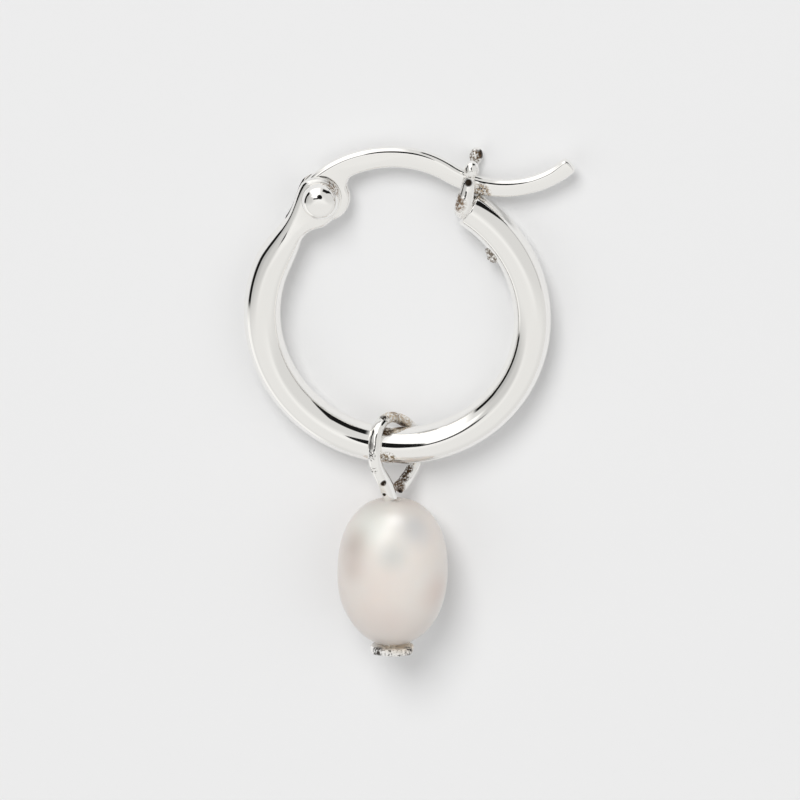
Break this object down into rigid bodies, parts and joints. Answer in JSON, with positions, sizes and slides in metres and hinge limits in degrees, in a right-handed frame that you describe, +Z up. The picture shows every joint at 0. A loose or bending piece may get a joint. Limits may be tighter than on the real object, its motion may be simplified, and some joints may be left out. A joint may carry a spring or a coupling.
{
  "type": "pearl dangle hoop earring",
  "caption": "Small round-tube hoop earring with a curved hinged ear wire that swings into a pronged catch, and a drilled oval pearl hanging on a looped head pin.",
  "frame": {"origin": "on the table under the middle of the whole earring as it lies", "axes": "+Z up from the table, +Y from the pearl towards the ear wire, +X towards the ear wire's free tip"},
  "size_m": [0.018, 0.0284, 0.0059],
  "materials": {
    "hoop_silver": "bright polished silver plate",
    "wire_silver": "bright polished silver plate",
    "rivet_silver": "bright polished silver plate",
    "pin_silver": "silver plate with fine tool marks where the wire is bent and cut",
    "pearl_nacre": "creamy pink nacre with a soft lustre"
  },
  "bodies": {
    "hoop": {"hoop": "hoop_silver", "rivet": "rivet_silver", "head_pin": "pin_silver", "pearl": "pearl_nacre"},
    "ear_wire": {"ear_wire": "wire_silver"}
  },
  "joints": [
    {"name": "ear_wire_hinge", "type": "hinge", "parent": "hoop", "child": "ear_wire", "pos_m": [-0.00482, 0.01139, 0.00123], "axis": [0, 0.0453, 0.999], "range_deg": [0, 75]}
  ]
}
